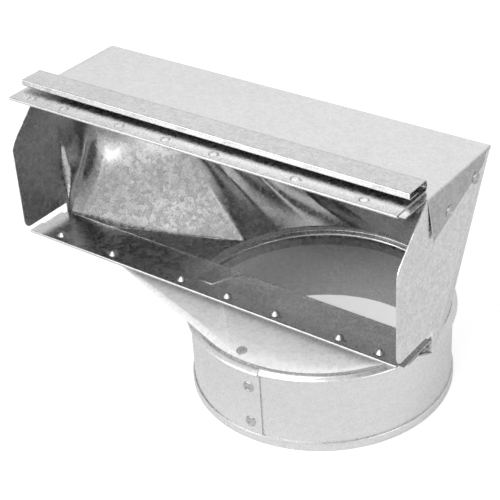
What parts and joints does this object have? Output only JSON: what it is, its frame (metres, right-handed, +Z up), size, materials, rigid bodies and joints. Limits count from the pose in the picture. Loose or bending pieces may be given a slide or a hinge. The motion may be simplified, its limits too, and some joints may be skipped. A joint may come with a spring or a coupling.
{
  "type": "stack boot",
  "caption": "Galvanised sheet-metal stack boot that turns a flat rectangular duct mouth with slip cleats down into a round pipe collar.",
  "frame": {"origin": "centre of the collar's foot, on the collar's axis", "axes": "+Z up along the collar, +X along the mouth towards the collar end, -Y out of the mouth"},
  "size_m": [0.2273, 0.133, 0.1356],
  "materials": {
    "top_cap": "galvanised sheet with fine spangle",
    "boot_body": "galvanised sheet with fine spangle",
    "round_collar": "galvanised sheet with fine spangle",
    "upper_cleat": "galvanised sheet with fine spangle",
    "lower_cleat": "galvanised sheet with fine spangle"
  },
  "bodies": {
    "root": {"top_cap": "top_cap", "boot_body": "boot_body", "round_collar": "round_collar", "upper_cleat": "upper_cleat", "lower_cleat": "lower_cleat"}
  },
  "joints": []
}
